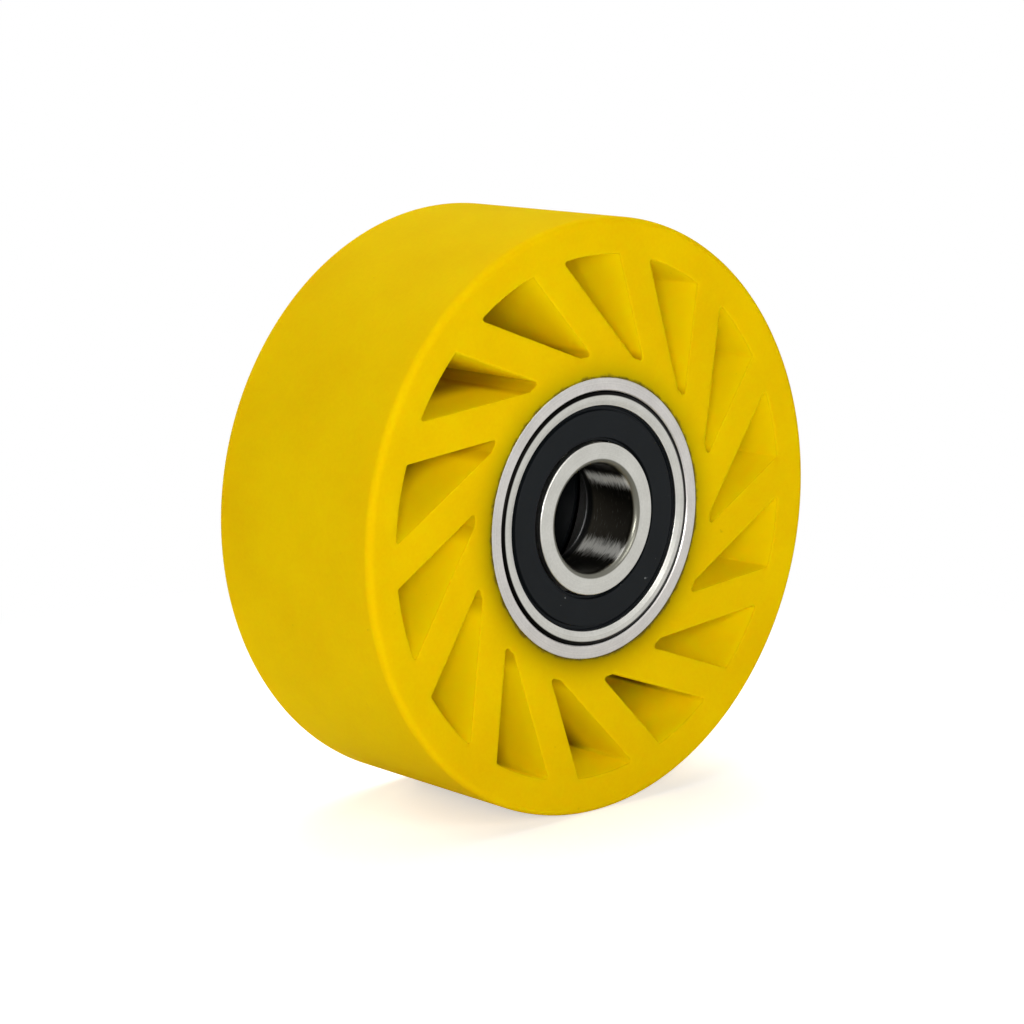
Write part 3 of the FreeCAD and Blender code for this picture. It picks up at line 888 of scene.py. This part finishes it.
# %% The inside of the bearings
hidden = {name: solid for name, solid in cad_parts.items() if "_ball_" in name or "_cage_" in name}
for name, solid in hidden.items():
    solid.data.materials.clear()
    solid.data.materials.append(ball_steel if "_ball_" in name else sheet_steel)
print("gave metal to", len(hidden), "hidden solids")

# %% [markdown]
# ## The floor
# The photograph has a plain white ground. The floor is pale and matt, carries the wheel's shadow, and
# fades to plain white a little way off. The extra white is only for rays that look at the floor, through
# Light Path, so it puts no light on the wheel.

# %% Rays that look


def looking_at(tree, ray):
    """1 for a ray that shows a surface, straight, mirrored or through glass, and 0 for one that lights."""
    straight = add_node(tree, "ShaderNodeMath", {"operation": "MAXIMUM"}, {
        0: ray["Is Camera Ray"], 1: ray["Is Glossy Ray"]})
    every = add_node(tree, "ShaderNodeMath", {"operation": "MAXIMUM"}, {
        0: straight.outputs[0], 1: ray["Is Transmission Ray"]})
    return every.outputs[0]


# %% The floor
FLOOR_HALF = 4000.0
FADE_FROM, FADE_TO = 65.0, 200.0
corners = [(sx * FLOOR_HALF, sy * FLOOR_HALF, -WHEEL_R) for sx, sy in ((-1, -1), (1, -1), (1, 1), (-1, 1))]
floor = new_piece("floor", corners, [(0, 1, 2, 3)])
# To the eye: white paper, with a soft shadow and no shine.
pale_floor, tree, shader, where, _ = new_material("pale_floor", {
    "Base Color": paint("F4F4F2"), "Roughness": 0.9, "Specular IOR Level": 0.0,
    "Emission Color": paint("FFFFFF")})
ray = add_node(tree, "ShaderNodeLightPath").outputs
lift = add_node(tree, "ShaderNodeMath", {"operation": "MULTIPLY"}, {0: ray["Is Camera Ray"], 1: 0.5})
tree.links.new(lift.outputs[0], shader.inputs["Emission Strength"])
away = add_node(tree, "ShaderNodeVectorMath", {"operation": "LENGTH"}, {0: where})
far_off = add_node(tree, "ShaderNodeMapRange", {"interpolation_type": "SMOOTHSTEP"}, {
    "Value": away.outputs["Value"], "From Min": FADE_FROM * MM, "From Max": FADE_TO * MM})
fade = add_node(tree, "ShaderNodeMath", {"operation": "MULTIPLY"}, {
    0: looking_at(tree, ray), 1: far_off.outputs["Result"]})
white = add_node(tree, "ShaderNodeEmission", {}, {"Color": paint("FFFFFF"), "Strength": 1.0})
ground = add_node(tree, "ShaderNodeMixShader", {}, {
    0: fade.outputs[0], 1: shader.outputs[0], 2: white.outputs[0]})
tree.links.new(ground.outputs[0], tree.nodes["Material Output"].inputs["Surface"])
floor.data.materials.append(pale_floor)
print("floor at", -WHEEL_R, "mm")

# %% [markdown]
# ## Sky and lamps
# The photograph is lit softly from many sides. A small softbox beside the camera reaches into the slots
# on the left, one on the right fills the face, large ones above and behind light the tread, and one on
# the left lifts the tread's side. The sky gives hardly any light: it is there to be seen, as the white
# behind the wheel and in the steel.

# %% The sky
SKY_LIGHT = 0.02
sky = bpy.data.worlds.new("studio")
bpy.context.scene.world = sky
sky.use_nodes = True
tree = sky.node_tree
ray = add_node(tree, "ShaderNodeLightPath").outputs
level = add_node(tree, "ShaderNodeMapRange", {}, {
    "Value": looking_at(tree, ray), "To Min": SKY_LIGHT, "To Max": 1.0})
tree.links.new(level.outputs["Result"], tree.nodes["Background"].inputs["Strength"])
tree.nodes["Background"].inputs["Color"].default_value = paint("FFFFFF")
print("sky lights at", SKY_LIGHT, "and shows as white")

# %% The lamps


def direction(azimuth, elevation):
    """From the wheel towards a place, by its angles in degrees. Azimuth 0 is in front of the wheel."""
    a, e = math.radians(azimuth), math.radians(elevation)
    return Vector((math.sin(a) * math.cos(e), -math.cos(a) * math.cos(e), math.sin(e)))


def aim(holder, place):
    """Put a lamp or the camera in its place, turned towards the wheel."""
    holder.location = place
    holder.rotation_euler = (-place).to_track_quat("-Z", "Y").to_euler()
    bpy.context.scene.collection.objects.link(holder)


def soft_lamp(name, azimuth, elevation, distance, size, watts):
    """A square soft lamp, placed by its angles in degrees and its distance in metres."""
    lamp = bpy.data.lights.new(name, "AREA")
    lamp.size = size
    lamp.energy = watts
    holder = bpy.data.objects.new(name, lamp)
    holder.visible_camera = False
    aim(holder, direction(azimuth, elevation) * distance)
    print("lamp", name, "at", [round(c, 2) for c in holder.location])


soft_lamp("front_softbox", -43, 11, 0.55, 0.14, 1.35)
soft_lamp("right_softbox", 0, 20, 0.8, 0.3, 1.55)
soft_lamp("top_softbox", 137, 60, 1.2, 1.0, 8.6)
soft_lamp("upper_softbox", -43, 78, 0.5, 0.3, 0.4)
soft_lamp("back_softbox", 180, 6, 0.7, 0.4, 2.8)
soft_lamp("left_softbox", -105, 45, 0.8, 0.4, 1.1)

# %% [markdown]
# ## Camera
# The camera stands where the photograph was taken from, which the outline of the wheel and the circles
# of the bearing give away. The focal length is known in pixels of the square picture, and a small shift
# puts the wheel's centre where the photograph has it.

# %% The camera
AZIMUTH, ELEVATION = -42.76, 10.77
DISTANCE = 0.52844           # in metres
FOCAL_PX, FRAME_PX = 2821.36, 1024
CENTRE_PX = (522.67, 503.91)
SENSOR_W = 36.0
camera = bpy.data.objects.new("camera", bpy.data.cameras.new("camera"))
aim(camera, direction(AZIMUTH, ELEVATION) * DISTANCE)
camera.data.sensor_width = SENSOR_W
camera.data.lens = SENSOR_W * FOCAL_PX / FRAME_PX
camera.data.shift_x = (FRAME_PX / 2 - CENTRE_PX[0]) / FRAME_PX
camera.data.shift_y = (CENTRE_PX[1] - FRAME_PX / 2) / FRAME_PX
bpy.context.scene.camera = camera
bpy.context.scene.view_settings.view_transform = "Standard"
print("camera", round(camera.data.lens, 1), "mm lens,", DISTANCE, "m away")
